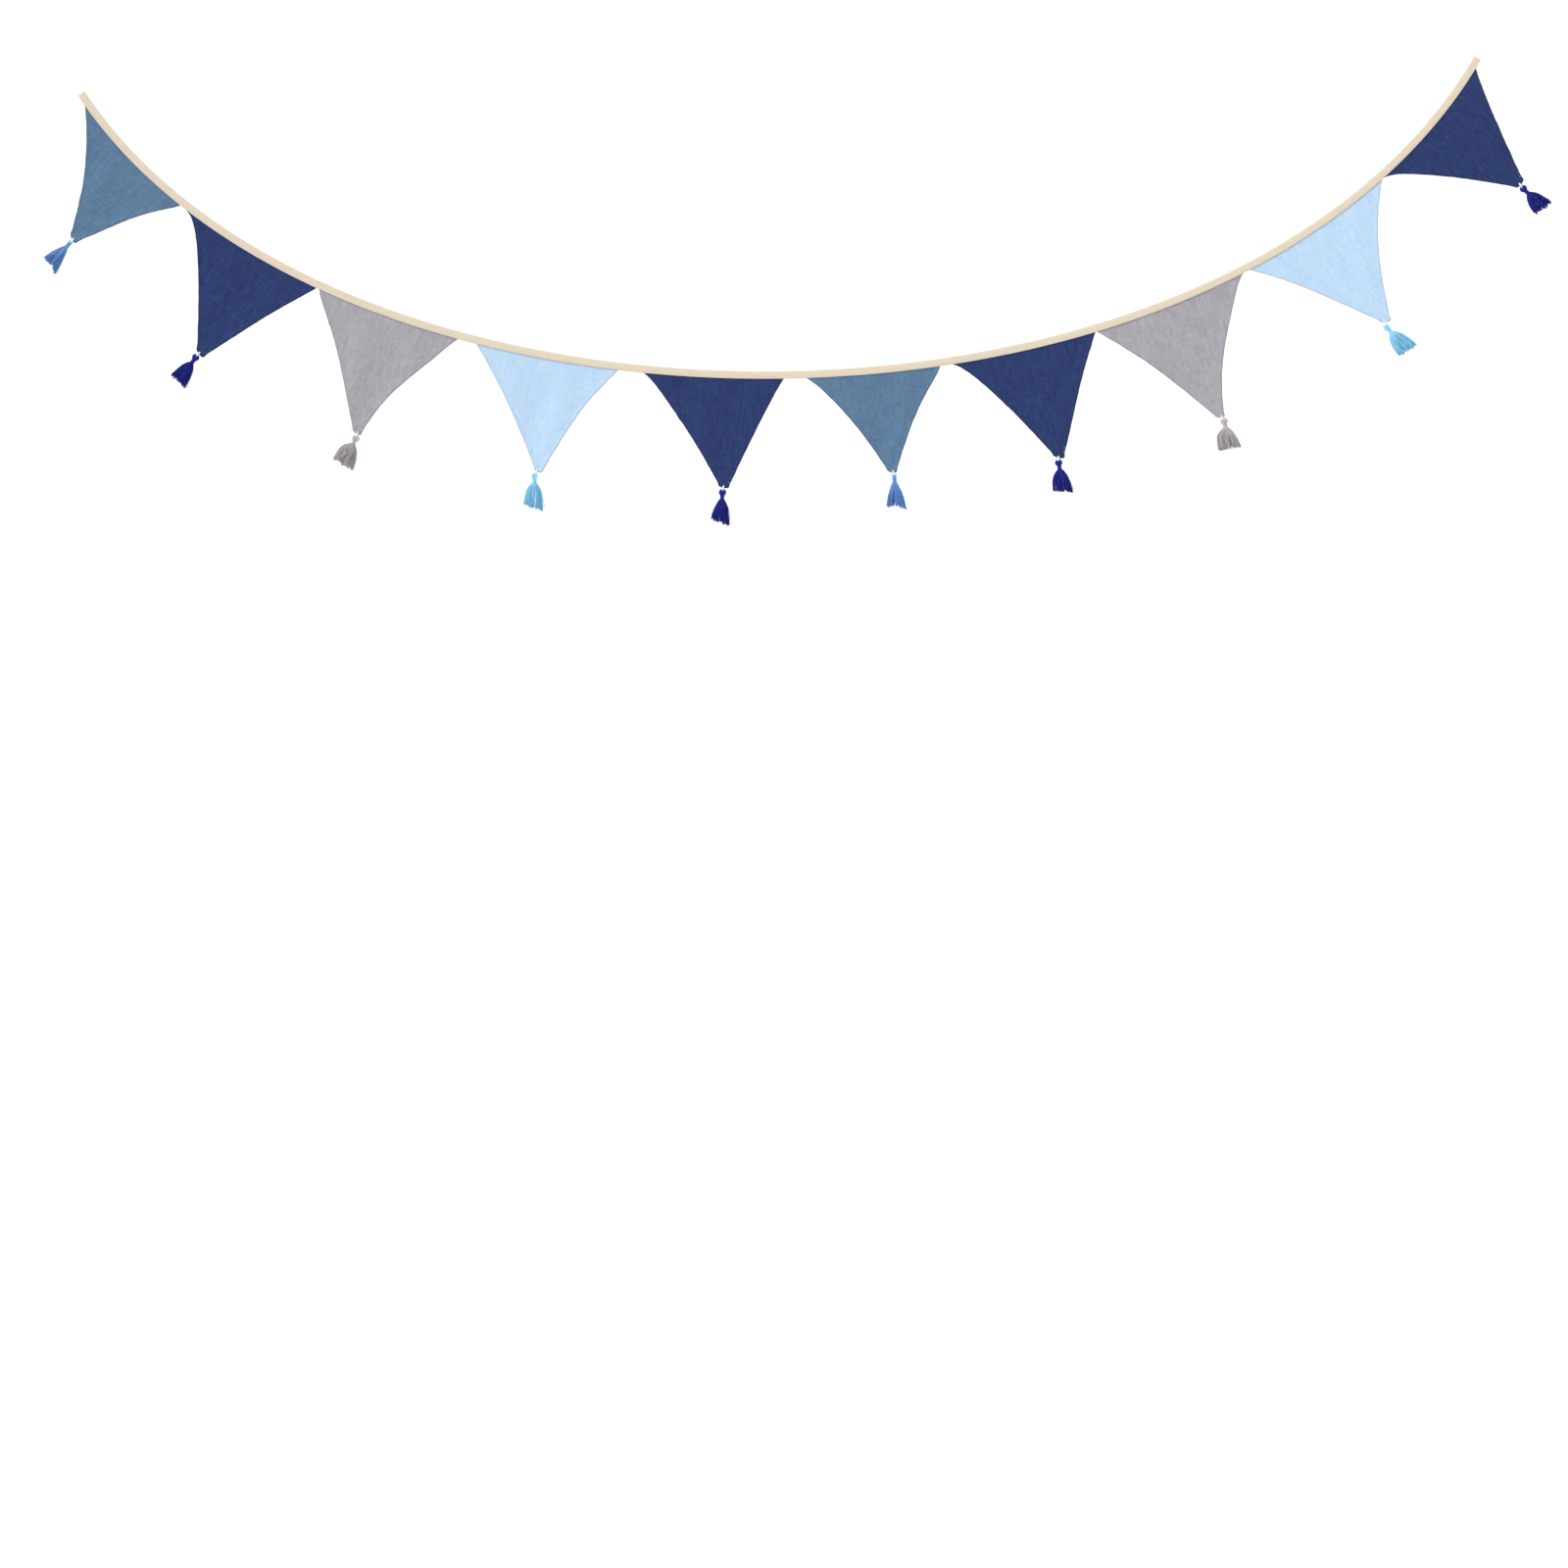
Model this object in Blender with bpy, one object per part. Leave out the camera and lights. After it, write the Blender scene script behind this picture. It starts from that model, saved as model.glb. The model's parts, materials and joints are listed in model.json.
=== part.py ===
"""Fabric bunting: gauze pennants with tassels, sewn into a folded tape that hangs in an arc.

Metres, +Z up. The garland hangs in the XZ plane and its front faces -Y. The origin is the
middle of the tape's left end, where it is pinned up.
"""

import math
import random
from collections import namedtuple

import bmesh
import bpy
import numpy as np
from mathutils import Matrix, Vector

MM = 0.001
GAP = 0.35 * MM               # between pieces that touch

# The tape's middle line is one cubic curve between the two points where it is pinned up.
SPAN = 1.795                  # across, from the left end to the right end
RISE = 0.0455                 # the right end is this much higher
LEFT_DROP = math.radians(56.5)    # how steeply it leaves each end
RIGHT_DROP = math.radians(59.6)
LEFT_PULL = 0.584             # the curve's handles
RIGHT_PULL = 0.624
ARC_STEPS = 1000              # steps in which its length is measured

# The tape: a strip folded lengthwise over the pennants' top edges, fold upward.
TAPE_WIDTH = 10.0 * MM
TAPE_THICKNESS = 3.7 * MM
TAPE_LEAF = 1.0 * MM
TAPE_FOLD = 1.6 * MM          # how far down the rounded fold reaches
TAPE_SECTIONS = 60

# The pennants: two layers of gauze turned out as a bag, with soft rolled side edges.
CLOTH_THICKNESS = 2.0 * MM
HELD_THICKNESS = 1.0 * MM     # where the tape grips it
TIP_THICKNESS = 1.6 * MM
RIM_SHARE = 0.7               # thickness at the side edges against that in the middle
HELD_DEPTH = 6.8 * MM         # how far the top edge reaches up into the tape
TIP_BULGE = 1.0 * MM
RIPPLE_PITCH = 62.0 * MM      # the soft waves that run down from the tape
RIPPLE_HEIGHT = 0.9 * MM
FOLD_HALF_WIDTH = 15.0 * MM
CLOTH_COLUMNS = 12
CLOTH_ROWS = (0.0, 0.05, 0.15, 0.27, 0.40, 0.54, 0.68, 0.81, 0.91, 1.0)
FULL_FROM = 0.15              # shares of the way down where the cloth has its full thickness
FULL_TO = 0.81

# One row for each pennant, in millimetres and degrees, seen from the front:
#   start, end         where its top edge begins and ends along the tape
#   lean, drop         where its tip is: right of the top edge's middle, and below it
#   tip, tip_turn      the blunt tip's width, and how far it is turned down at its right
#   bow_l, wave_l      how far the left edge draws in at its middle, and higher up than lower down
#   bow_r, wave_r      the same for the right edge
#   swing              how far the tip stands behind the tape's plane
#   fold_at, fold      the main soft fold: its place across, from 0 to 1, and its height
Pennant = namedtuple("Pennant", "cloth start end lean drop tip tip_turn "
                                "bow_l wave_l bow_r wave_r swing fold_at fold")
PENNANTS = (
    Pennant("slate_blue", 15, 192, 24, 130, 10.5, 19, 9, 1, 4, 1, 2.0, 0.45, -1.4),
    Pennant("navy", 200, 396, 11, 150, 10.5, 21, 13, 2, 2, 1, -2.5, 0.60, 1.6),
    Pennant("grey", 400, 589, 14, 158, 9.5, 9, 5, 0, 11, -3, 2.5, 0.35, -1.8),
    Pennant("pale_blue", 613, 798, 16, 147, 8.5, 7, 6, -1, 7, 0, -2.0, 0.58, 2.0),
    Pennant("navy", 831, 1011, 17, 143, 10.0, 7, 10, -1, 1, 2, -3.0, 0.40, -1.5),
    Pennant("slate_blue", 1040, 1212, 13, 130, 10.5, 14, 7, 1, 5, 0, 1.5, 0.62, 1.7),
    Pennant("navy", 1228, 1416, 10, 147, 11.0, 21, 10, 0, 2, 1, -2.0, 0.50, -1.6),
    Pennant("grey", 1418, 1620, 7, 161, 9.5, 17, 6, 1, 14, -1, 2.5, 0.66, 1.9),
    Pennant("pale_blue", 1629, 1835, 2, 154, 11.5, 26, 8, -1, 10, 2, -2.5, 0.72, -2.2),
    Pennant("navy", 1837, 2021, 15, 140, 13.0, -2, 11, 1, 3, 1, 3.0, 0.42, 1.5),
)

# One row for each tassel, in the pennants' order, in millimetres and degrees:
#   shift              how far its ring hangs right of the tip's middle
#   turn               how far its skirt swings right of the pennant's own axis
#   length, spread     ring to cut ends, and the skirt's width there
#   slant              how much lower the cut runs at the right
Tassel = namedtuple("Tassel", "thread shift turn length spread slant")
TASSELS = (
    Tassel("blue_thread", 1.5, 4, 42.0, 28, 18),
    Tassel("navy_thread", 0.5, -5, 42.5, 27, 9),
    Tassel("grey_thread", 0.0, -6, 42.0, 31, 6),
    Tassel("azure_thread", -4.0, 9, 45.0, 26, 14),
    Tassel("navy_thread", 0.5, -2, 42.5, 27, 13),
    Tassel("blue_thread", 2.0, -1, 44.5, 28, 17),
    Tassel("navy_thread", 1.0, -4, 41.5, 27, 12),
    Tassel("grey_thread", 1.0, -9, 40.5, 31, 3),
    Tassel("azure_thread", -2.0, 8, 44.5, 27, 12),
    Tassel("navy_thread", -1.5, -4, 41.0, 26, 12),
)

# The tassel's head: a ring of threads, a wrapped neck, and the root that the locks grow from.
RING_OUTER = 4.9 * MM
RING_TUBE = 1.5 * MM
RING_GAP = 0.5 * MM           # between the pennant's tip and the ring
RING_STEPS = 10
RING_SIDES = 6
NECK_SIDES = 10
NECK = (                      # below the ring's middle, half width, half depth, in millimetres
    (5.6, 3.0, 2.4),
    (7.4, 3.3, 2.7),
    (8.8, 4.2, 3.2),
    (11.0, 6.2, 4.3),
)
ROOT_RIM = 2.1 * MM           # the outer locks' depth at the root
LOCK_PARTING = 0.2 * MM       # half the space between two locks' roots
LOCK_STEPS = ((0.38, 0.62), (1.0, 1.0))   # share of the length, share of the flare
LOCK_GROWTH = 1.3
LOCK_HALF_WIDTH = 1.2 * MM    # at the cut ends
SKIRT_DEPTH = 0.55            # the flattened skirt's depth against its width
LOCK_UNEVEN = 0.05            # share of the length
LOCK_STRAY = 0.4 * MM

# The tie: white thread from the cloth above the tip, down through the ring and up behind.
TIE_HALF_WIDTH = 1.0 * MM
TIE_HALF_THICKNESS = 0.6 * MM
TIE_START = 4.0 * MM          # above the tip's lower edge
TIE_SIDES = 6
TIE_TURN = 1.2 * MM           # length of its turn out of the cloth
TIE_REACH = 2.55 * MM         # radius of its turn round the ring's thread

LINEAR_COLOURS = {
    "tape": (0.79, 0.68, 0.53),
    "slate_blue": (0.115, 0.202, 0.323),
    "navy": (0.033, 0.053, 0.156),
    "grey": (0.408, 0.402, 0.434),
    "pale_blue": (0.539, 0.745, 0.956),
    "blue_thread": (0.078, 0.198, 0.456),
    "navy_thread": (0.013, 0.019, 0.144),
    "grey_thread": (0.296, 0.270, 0.283),
    "azure_thread": (0.168, 0.456, 0.776),
    "white_thread": (0.84, 0.84, 0.86),
}
CLOTH_ROUGHNESS = 0.9
THREAD_ROUGHNESS = 0.55


def clear_scene():
    for old in list(bpy.data.objects):
        bpy.data.objects.remove(old, do_unlink=True)


def make_material(name, roughness):
    material = bpy.data.materials.new(name)
    material.use_nodes = True
    shader = material.node_tree.nodes["Principled BSDF"]
    shader.inputs["Base Color"].default_value = (*LINEAR_COLOURS[name], 1.0)
    shader.inputs["Roughness"].default_value = roughness
    shader.inputs["Metallic"].default_value = 0.0
    return material


def finish_piece(name, shape, material):
    """Turn a bmesh into a named object with its faces out and its rounds smooth."""
    bmesh.ops.recalc_face_normals(shape, faces=shape.faces)
    mesh = bpy.data.meshes.new(name)
    shape.to_mesh(mesh)
    shape.free()
    mesh.materials.append(material)
    mesh.shade_smooth()
    mesh.set_sharp_from_angle(angle=math.radians(50))
    piece = bpy.data.objects.new(name, mesh)
    bpy.context.scene.collection.objects.link(piece)
    return piece


def bridge_rings(shape, rings):
    """Faces between each two neighbouring rings of vertices."""
    for upper, lower in zip(rings, rings[1:]):
        for i in range(len(upper)):
            j = (i + 1) % len(upper)
            shape.faces.new((upper[i], upper[j], lower[j], lower[i]))


def loft(name, loops, material):
    """One closed body through loops of points, with flat ends."""
    shape = bmesh.new()
    rings = [[shape.verts.new(point) for point in loop] for loop in loops]
    bridge_rings(shape, rings)
    shape.faces.new(rings[0])
    shape.faces.new(rings[-1])
    return finish_piece(name, shape, material)


def arc_handles():
    """The cubic curve's four control points, in the XZ plane."""
    left = Vector((0.0, 0.0, 0.0))
    right = Vector((SPAN, 0.0, RISE))
    left_handle = left + Vector((math.cos(LEFT_DROP), 0.0, -math.sin(LEFT_DROP))) * LEFT_PULL
    right_handle = right - Vector((math.cos(RIGHT_DROP), 0.0, math.sin(RIGHT_DROP))) * RIGHT_PULL
    return left, left_handle, right_handle, right


HANDLES = arc_handles()


def arc_point(t):
    a, b, c, d = HANDLES
    s = 1 - t
    return a * s**3 + b * 3 * s * s * t + c * 3 * s * t * t + d * t**3


def arc_direction(t):
    a, b, c, d = HANDLES
    s = 1 - t
    return ((b - a) * s * s + (c - b) * 2 * s * t + (d - c) * t * t).normalized()


ARC_SHARES = np.linspace(0.0, 1.0, ARC_STEPS + 1)
ARC_POINTS = np.array([arc_point(t) for t in ARC_SHARES])
ARC_STRIDES = np.linalg.norm(np.diff(ARC_POINTS, axis=0), axis=1)
ARC_LENGTHS = np.concatenate(([0.0], np.cumsum(ARC_STRIDES)))
TAPE_LENGTH = float(ARC_LENGTHS[-1])


def on_tape(distance, below=0.0):
    """The point at a distance along the tape, and below its middle line, square to it."""
    t = float(np.interp(distance, ARC_LENGTHS, ARC_SHARES))
    run = arc_direction(t)
    return arc_point(t) + Vector((run.z, 0.0, -run.x)) * below


def tape_section():
    """The folded tape's section: (below its middle line, depth), as an upturned U."""
    edge = TAPE_WIDTH / 2
    outer = TAPE_THICKNESS / 2
    inner = outer - TAPE_LEAF
    shoulder = TAPE_FOLD - edge
    fold = []
    for degrees in (-90, -45, 0, 45, 90):
        turn = math.radians(degrees)
        fold.append((shoulder - TAPE_FOLD * math.cos(turn), outer * math.sin(turn)))
    crown = TAPE_LEAF - edge
    channel = [(edge, inner), (shoulder, inner), (crown, 0.0), (shoulder, -inner), (edge, -inner)]
    return [(edge, -outer)] + fold + [(edge, outer)] + channel


def make_tape(material):
    section = tape_section()
    loops = []
    for step in range(TAPE_SECTIONS + 1):
        distance = TAPE_LENGTH * step / TAPE_SECTIONS
        loops.append([on_tape(distance, below) + Vector((0.0, depth, 0.0)) for below, depth in section])
    return loft("tape", loops, material)


class PennantFrame:
    """The places and directions of one pennant: its corners, its tip and its own axes."""

    def __init__(self, row):
        self.row = row
        self.left = self.on_top(0.0)
        self.right = self.on_top(1.0)
        self.width = (self.right - self.left).length
        self.across = (self.right - self.left).normalized()
        self.down = Vector((self.across.z, 0.0, -self.across.x))
        self.tip = (self.left + self.right) / 2 + (self.across * row.lean + self.down * row.drop) * MM
        turn = math.radians(row.tip_turn)
        half = (self.across * math.cos(turn) + self.down * math.sin(turn)) * row.tip * MM / 2
        self.tip_left = self.tip - half
        self.tip_right = self.tip + half
        left_run = (self.tip_left - self.left).normalized()
        right_run = (self.tip_right - self.right).normalized()
        self.left_in = Vector((-left_run.z, 0.0, left_run.x))
        self.right_in = Vector((right_run.z, 0.0, -right_run.x))

    def on_top(self, share, above=0.0):
        """A point of the top edge, at the tape's lower edge or above that."""
        distance = (self.row.start + (self.row.end - self.row.start) * share) * MM
        return on_tape(distance, TAPE_WIDTH / 2 - above)

    def face_point(self, share, fall):
        """A point of the hung cloth in the garland's plane: share across, fall down."""
        row = self.row
        first = math.sin(math.pi * fall) * MM
        second = math.sin(2 * math.pi * fall) * MM
        left = self.left.lerp(self.tip_left, fall)
        left += self.left_in * (row.bow_l * first + row.wave_l * second)
        right = self.right.lerp(self.tip_right, fall)
        right += self.right_in * (row.bow_r * first + row.wave_r * second)
        top_bend = self.on_top(share) - self.left.lerp(self.right, share)
        tip_bend = self.down * TIP_BULGE * math.sin(math.pi * share)
        return left.lerp(right, share) + top_bend * (1 - fall) + tip_bend * fall

    def depth(self, share, fall):
        """How far the cloth's middle stands behind the tape's plane."""
        row = self.row
        across = (self.face_point(share, fall) - self.left).dot(self.across)
        ripple = RIPPLE_HEIGHT * math.sin(2 * math.pi * (across + row.start * MM) / RIPPLE_PITCH)
        crease_line = self.width * (row.fold_at + (0.5 - row.fold_at) * fall)
        fold = row.fold * MM * math.exp(-((across - crease_line) / FOLD_HALF_WIDTH) ** 2)
        hang = 4 * fall * (1 - fall)
        return (ripple + fold) * hang + row.swing * MM * fall * fall * (3 - 2 * fall)


def cloth_thickness(share, fall):
    """Thin where the tape grips it, full below, thinner at its side edges and its tip."""
    full = HELD_THICKNESS + (CLOTH_THICKNESS - HELD_THICKNESS) * min(1.0, fall / FULL_FROM)
    full -= (CLOTH_THICKNESS - TIP_THICKNESS) * max(0.0, (fall - FULL_TO) / (1 - FULL_TO))
    if share in (0, 1) and fall > 0:
        full *= RIM_SHARE
    return full


def make_pennant(name, frame, material):
    shape = bmesh.new()
    shares = [column / CLOTH_COLUMNS for column in range(CLOTH_COLUMNS + 1)]
    lines = [[(frame.on_top(share, HELD_DEPTH), HELD_THICKNESS) for share in shares]]
    for fall in CLOTH_ROWS:
        lines.append([(frame.face_point(share, fall) + Vector((0.0, frame.depth(share, fall), 0.0)),
                       cloth_thickness(share, fall)) for share in shares])
    rims = []
    for face in (-1, 1):
        sheet = [[shape.verts.new(middle + Vector((0.0, face * thickness / 2, 0.0)))
                  for middle, thickness in line] for line in lines]
        for upper, lower in zip(sheet, sheet[1:]):
            for i in range(CLOTH_COLUMNS):
                shape.faces.new((upper[i], upper[i + 1], lower[i + 1], lower[i]))
        left = [line[0] for line in sheet]
        right = [line[-1] for line in sheet]
        rims.append(sheet[0] + right[1:] + sheet[-1][-2::-1] + left[-2:0:-1])
    bridge_rings(shape, rims)
    return finish_piece(name, shape, material)


def oval(below, half_width, half_depth):
    """A level ring of points round the tassel's neck, given in millimetres."""
    points = []
    for i in range(NECK_SIDES):
        turn = 2 * math.pi * (i + 0.5) / NECK_SIDES
        points.append(Vector((half_width * math.sin(turn), -half_depth * math.cos(turn), -below)) * MM)
    return points


def add_ring(shape):
    """The ring of threads, standing in the XZ plane round the origin, open below for the neck."""
    circle = bmesh.ops.create_circle(shape, segments=RING_SIDES, radius=RING_TUBE)["verts"]
    bmesh.ops.rotate(shape, verts=circle, matrix=Matrix.Rotation(math.radians(90), 3, "Z"))
    bmesh.ops.translate(shape, verts=circle, vec=(RING_OUTER - RING_TUBE, 0.0, 0.0))
    bmesh.ops.rotate(shape, verts=circle, matrix=Matrix.Rotation(math.radians(90), 3, "Y"))
    bmesh.ops.spin(shape, geom=circle + list(shape.edges), axis=(0, 1, 0), cent=(0, 0, 0),
                   angle=2 * math.pi, steps=RING_STEPS, use_merge=True)
    lowest = min(shape.verts, key=lambda vertex: vertex.co.z)
    bmesh.ops.delete(shape, geom=list(lowest.link_faces), context="FACES")
    return [edge for edge in shape.edges if edge.is_boundary]


def grow_locks(shape, root, row, seed):
    """Part the root face into locks and draw each one down to the uneven cut ends."""
    draw = random.Random(seed)
    outer = bmesh.ops.inset_individual(shape, faces=[root], thickness=ROOT_RIM)["faces"]
    inner = bmesh.ops.poke(shape, faces=[root])["faces"]
    locks = outer + inner
    bmesh.ops.inset_individual(shape, faces=locks, thickness=LOCK_PARTING)
    starts = [lock.calc_center_median() for lock in locks]
    widest = max(abs(start.x) for start in starts)
    deepest = max(abs(start.y) for start in starts)
    reach = row.spread / 2 * MM - LOCK_HALF_WIDTH
    flare_x = reach / widest
    flare_y = reach * SKIRT_DEPTH / deepest
    slope = math.tan(math.radians(row.slant))
    fall = row.length * MM - RING_OUTER + starts[0].z
    for lock, start in zip(locks, starts):
        offsets = [vertex.co - start for vertex in lock.verts]
        end = Vector((start.x * flare_x + draw.uniform(-1, 1) * LOCK_STRAY,
                      start.y * flare_y + draw.uniform(-1, 1) * LOCK_STRAY, start.z))
        length = fall * (1 + draw.uniform(-LOCK_UNEVEN, LOCK_UNEVEN)) + end.x * slope
        for down, spread in LOCK_STEPS:
            lock = bmesh.ops.extrude_discrete_faces(shape, faces=[lock])["faces"][0]
            aim = start.lerp(end, spread) + Vector((0.0, 0.0, -length * down))
            for vertex, offset in zip(lock.verts, offsets):
                vertex.co = aim + offset * (1 + (LOCK_GROWTH - 1) * spread)


def make_tassel(name, row, centre, turn, seed, material):
    """Built upright round the middle of its ring, then turned and hung in its place."""
    shape = bmesh.new()
    opening = add_ring(shape)
    rings = [[shape.verts.new(point) for point in oval(*section)] for section in NECK]
    bridge_rings(shape, rings)
    root = shape.faces.new(rings[-1])
    collar = [edge for edge in shape.edges if edge.is_boundary and edge not in opening]
    bmesh.ops.bridge_loops(shape, edges=opening + collar)
    bmesh.ops.recalc_face_normals(shape, faces=shape.faces)
    grow_locks(shape, root, row, seed)
    place = Matrix.Translation(centre) @ Matrix.Rotation(turn, 4, "Y")
    bmesh.ops.transform(shape, matrix=place, verts=shape.verts)
    return finish_piece(name, shape, material)


def tie_path(run):
    """The thread's middle line: (along the run to the ring's thread, depth), front to back."""
    leave = TIP_THICKNESS / 2 + GAP
    path = []
    for degrees in (0, 45, 90):
        turn = math.radians(degrees)
        path.append((TIE_TURN * (1 - math.cos(turn)), -leave - (TIE_REACH - leave) * math.sin(turn)))
    behind = [(along, -depth) for along, depth in reversed(path)]
    for degrees in (-90, -45, 0, 45, 90):
        turn = math.radians(degrees)
        path.append((run + TIE_REACH * math.cos(turn), TIE_REACH * math.sin(turn)))
    return path + behind


def make_tie(name, start, end, material):
    """A flat band of thread from the cloth, round the ring's upper thread, and back."""
    along = (end - start).normalized()
    side = Vector((-along.z, 0.0, along.x))
    points = [start + along * reach + Vector((0.0, depth, 0.0))
              for reach, depth in tie_path((end - start).length)]
    forward = Vector((0.0, -1.0, 0.0))
    between = [(after - before).normalized() for before, after in zip(points, points[2:])]
    loops = []
    for point, direction in zip(points, [forward] + between + [forward]):
        outward = direction.cross(side)
        loop = []
        for k in range(TIE_SIDES):
            turn = 2 * math.pi * k / TIE_SIDES
            loop.append(point + side * TIE_HALF_WIDTH * math.cos(turn)
                        + outward * TIE_HALF_THICKNESS * math.sin(turn))
        loops.append(loop)
    return loft(name, loops, material)


def main():
    clear_scene()
    materials = {name: make_material(name, THREAD_ROUGHNESS if "thread" in name else CLOTH_ROUGHNESS)
                 for name in LINEAR_COLOURS}
    make_tape(materials["tape"])
    for number, (row, hanging) in enumerate(zip(PENNANTS, TASSELS), start=1):
        frame = PennantFrame(row)
        make_pennant(f"pennant_{number:02d}", frame, materials[row.cloth])
        edge = frame.tip + frame.down * TIP_BULGE + Vector((0.0, row.swing * MM, 0.0))
        centre = edge + frame.down * (RING_GAP + RING_OUTER) + frame.across * hanging.shift * MM
        swing = math.atan2(frame.across.z, frame.across.x) + math.radians(hanging.turn)
        make_tassel(f"tassel_{number:02d}", hanging, centre, -swing, number, materials[hanging.thread])
        start = edge - frame.down * TIE_START
        ring_thread = centre + (start - centre).normalized() * (RING_OUTER - RING_TUBE)
        make_tie(f"tie_{number:02d}", start, ring_thread, materials["white_thread"])


main()
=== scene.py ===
import json
import math
import random

import bmesh
import bpy
import numpy as np
from mathutils import Matrix, Vector
from mathutils.noise import noise


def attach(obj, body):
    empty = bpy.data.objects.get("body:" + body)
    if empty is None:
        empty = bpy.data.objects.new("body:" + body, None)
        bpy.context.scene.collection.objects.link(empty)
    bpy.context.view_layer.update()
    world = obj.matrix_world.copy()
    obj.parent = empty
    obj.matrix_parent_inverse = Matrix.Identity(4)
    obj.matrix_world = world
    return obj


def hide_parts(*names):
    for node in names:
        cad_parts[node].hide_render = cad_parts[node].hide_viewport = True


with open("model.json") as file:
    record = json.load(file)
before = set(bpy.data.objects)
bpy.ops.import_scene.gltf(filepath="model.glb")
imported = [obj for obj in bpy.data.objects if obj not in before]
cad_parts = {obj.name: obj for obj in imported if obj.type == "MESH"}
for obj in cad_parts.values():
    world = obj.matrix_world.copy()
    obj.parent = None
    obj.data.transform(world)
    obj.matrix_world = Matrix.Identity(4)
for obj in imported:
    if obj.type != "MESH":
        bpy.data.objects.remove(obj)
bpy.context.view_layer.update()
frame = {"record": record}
mm = 0.001

# The garland hangs in the XZ plane, its front faces -Y, and the tape's left end is the origin.
# The tape's middle line is one cubic curve between the two places where it is pinned up.
arc = {
    "rightEnd": next(mount["pos_m"] for mount in frame["record"]["mounts"] if mount["name"] == "right_end"),
    "leftDrop": 56.5,   # degrees: how steeply it leaves each end
    "rightDrop": 59.6,
    "leftPull": 0.584,  # metres: how far each end steers it
    "rightPull": 0.624,
    "steps": 2000,
}


def evenArc():
    # the curve's points at equal steps along it, and its length
    leftDrop = math.radians(arc["leftDrop"])
    rightDrop = math.radians(arc["rightDrop"])
    right = Vector(arc["rightEnd"])
    leftPull = Vector((math.cos(leftDrop), 0, -math.sin(leftDrop))) * arc["leftPull"]
    rightPull = right - Vector((math.cos(rightDrop), 0, math.sin(rightDrop))) * arc["rightPull"]
    raw = np.array([leftPull * 3 * t * (1 - t)**2 + rightPull * 3 * t * t * (1 - t) + right * t**3
                    for t in np.linspace(0, 1, arc["steps"] + 1)])
    reach = np.concatenate(([0], np.cumsum(np.linalg.norm(np.diff(raw, axis=0), axis=1))))
    even = np.linspace(0, reach[-1], arc["steps"] + 1)
    columns = [np.interp(even, reach, raw[:, axis]) for axis in range(3)]
    return [Vector(spot) for spot in zip(*columns)], float(reach[-1])


arcPoints, tapeLength = evenArc()
arcRuns = [(ahead - behind).normalized() for behind, ahead
           in zip(arcPoints[:1] + arcPoints[:-1], arcPoints[1:] + arcPoints[-1:])]


def onTape(distance, below=0.0, depth=0.0):
    # metres along the tape, square down from its middle line, and towards the back
    place = min(max(distance / tapeLength, 0.0), 1.0) * arc["steps"]
    step = min(int(place), arc["steps"] - 1)
    point = arcPoints[step].lerp(arcPoints[step + 1], place - step)
    run = arcRuns[step].lerp(arcRuns[step + 1], place - step)
    return point + Vector((run.z * below, depth, -run.x * below))


def smooth(share):
    share = min(1.0, max(0.0, share))
    return share * share * (3 - 2 * share)


def layGrid(shape, across, along, place):
    # A grid whose points go where place(u, v) says, with u across and v along, from 0 to 1.
    # place also gives each point's UV, and how near the cloth's rim it is.
    uvs = shape.loops.layers.uv.get("UVMap") or shape.loops.layers.uv.new("UVMap")
    rims = shape.verts.layers.float.get("rim") or shape.verts.layers.float.new("rim")
    made = bmesh.ops.create_grid(shape, x_segments=across, y_segments=along, size=0.5)["verts"]
    for point in made:
        point.co, uv, point[rims] = place(point.co.x + 0.5, point.co.y + 0.5)
        for loop in point.link_loops:
            loop[uvs].uv = uv


def addThreads(shape, threads, sides=5):
    # Each thread is its points, its radius and its number. All lie in one grid, and their ends close
    # where the doubles merge. A thread's UV is its number and turn, and metres along it.
    rows = []
    for points, radius, number in threads:
        side = (points[1] - points[0]).orthogonal()
        last = len(points) - 1
        reach = 0.0
        for step, point in enumerate(points):
            run = (points[min(step + 1, last)] - points[max(step - 1, 0)]).normalized()
            side = (side - run * side.dot(run)).normalized()
            reach += (point - points[max(step - 1, 0)]).length
            row = (point, side * radius, run.cross(side) * radius, number, reach)
            closed = (point, Vector(), Vector(), number, reach)
            rows += [closed, row] if step == 0 else [row, closed] if step == last else [row]

    def place(u, v):
        point, side, lift, number, reach = rows[round(v * (len(rows) - 1))]
        turn = 2 * math.pi * u
        return point + side * math.cos(turn) + lift * math.sin(turn), (number + u, reach), 0.0

    layGrid(shape, sides, len(rows) - 1, place)
    bmesh.ops.remove_doubles(shape, verts=shape.verts, dist=1e-7)
    between = [edge for edge in shape.edges if edge.is_wire]
    bmesh.ops.delete(shape, geom=between, context="EDGES")


def finishPiece(name, shape, material, node):
    bmesh.ops.recalc_face_normals(shape, faces=shape.faces)
    mesh = bpy.data.meshes.new(name)
    shape.to_mesh(mesh)
    shape.free()
    mesh.materials.append(material)
    mesh.shade_smooth()
    piece = bpy.data.objects.new(name, mesh)
    bpy.context.scene.collection.objects.link(piece)
    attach(piece, "root")
    if node:
        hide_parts(node)
    return piece


def linearColour(hexText):
    # an sRGB hex colour turned linear, with an alpha of 1
    parts = [int(hexText[start:start + 2], 16) / 255 for start in (1, 3, 5)]
    linear = [part / 12.92 if part <= 0.04045 else ((part + 0.055) / 1.055)**2.4 for part in parts]
    return linear + [1.0]


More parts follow.
